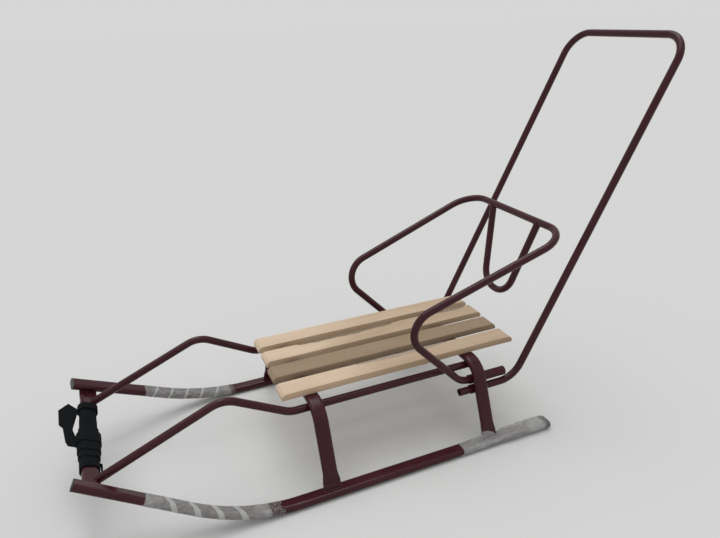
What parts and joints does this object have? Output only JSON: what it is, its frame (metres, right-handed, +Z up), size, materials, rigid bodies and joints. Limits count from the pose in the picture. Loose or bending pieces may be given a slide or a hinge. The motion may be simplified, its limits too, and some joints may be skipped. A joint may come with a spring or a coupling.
{
  "type": "metal sled with push handle",
  "caption": "Low sled of bent steel tube on flat-oval runners, with a wooden slat seat, a tubular backrest loop, a tall push handle and a webbing tow strap.",
  "frame": {"origin": "on the floor, under the middle of the whole sled with its handle", "axes": "+X forward, the way it is towed; +Y to its left; +Z up"},
  "size_m": [1.3076, 0.4744, 0.8186],
  "materials": {
    "paint": "gloss",
    "wood": "matt, sawn and sanded",
    "webbing": "woven",
    "cap_plastic": "satin",
    "film": "clear stretch film"
  },
  "bodies": {
    "sled": {"front_crossbar": "paint", "front_arch": "paint", "rear_arch": "paint", "tow_strap_wrap": "webbing", "tow_strap_loop": "webbing", "slat_1": "wood", "slat_2": "wood", "slat_3": "wood", "slat_4": "wood", "runner_left": "paint", "runner_right": "paint", "front_cap_left": "cap_plastic", "front_cap_right": "cap_plastic", "rear_cap_left": "cap_plastic", "rear_cap_right": "cap_plastic", "side_rail_left": "paint", "side_rail_right": "paint", "backrest_socket_left": "paint", "backrest_socket_right": "paint", "handle_sleeve_left": "paint", "handle_sleeve_right": "paint", "front_film_left": "film", "front_film_right": "film", "rear_film_left": "film", "rear_film_right": "film"},
    "backrest": {"backrest_loop": "paint", "back_support": "paint"},
    "handle": {"push_handle": "paint"}
  },
  "joints": [
    {"name": "backrest_pull", "type": "slide", "parent": "sled", "child": "backrest", "axis": [1, 0, 0], "range_m": [0, 0.08]},
    {"name": "handle_pull", "type": "slide", "parent": "sled", "child": "handle", "axis": [-1, 0, 0], "range_m": [0, 0.07]}
  ]
}
